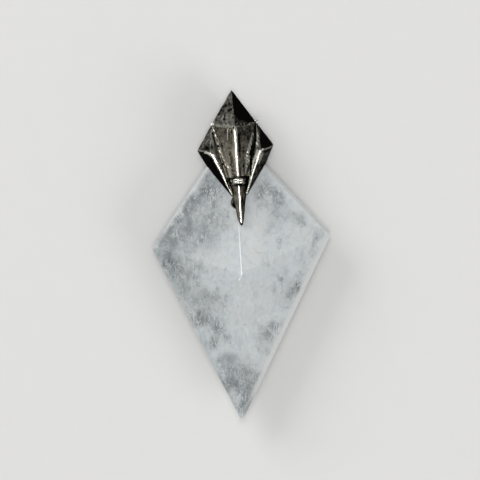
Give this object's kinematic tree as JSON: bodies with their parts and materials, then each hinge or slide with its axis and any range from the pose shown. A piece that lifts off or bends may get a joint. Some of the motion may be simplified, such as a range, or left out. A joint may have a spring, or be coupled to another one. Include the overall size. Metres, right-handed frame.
{
  "type": "trident pendant",
  "caption": "Pendant lying on its back: a kite-shaped cut crystal of milky quartz under a darkened cast silver cap with wings, side plates and a ridged middle spike.",
  "frame": {"origin": "centre of the pendant's outline, on the surface that it lies on", "axes": "+Y towards the cap's point, +Z out of the front, +X to the right as seen from the front"},
  "size_m": [0.0314, 0.0576, 0.0095],
  "materials": {
    "crystal": "polished milky quartz",
    "dark_silver": "darkened cast silver with polished edges",
    "bright_silver": "polished silver"
  },
  "bodies": {
    "root": {"crystal": "crystal", "trident_head": "dark_silver", "centre_spike": "dark_silver", "collar_ring": "bright_silver", "pin": "bright_silver"}
  },
  "joints": []
}
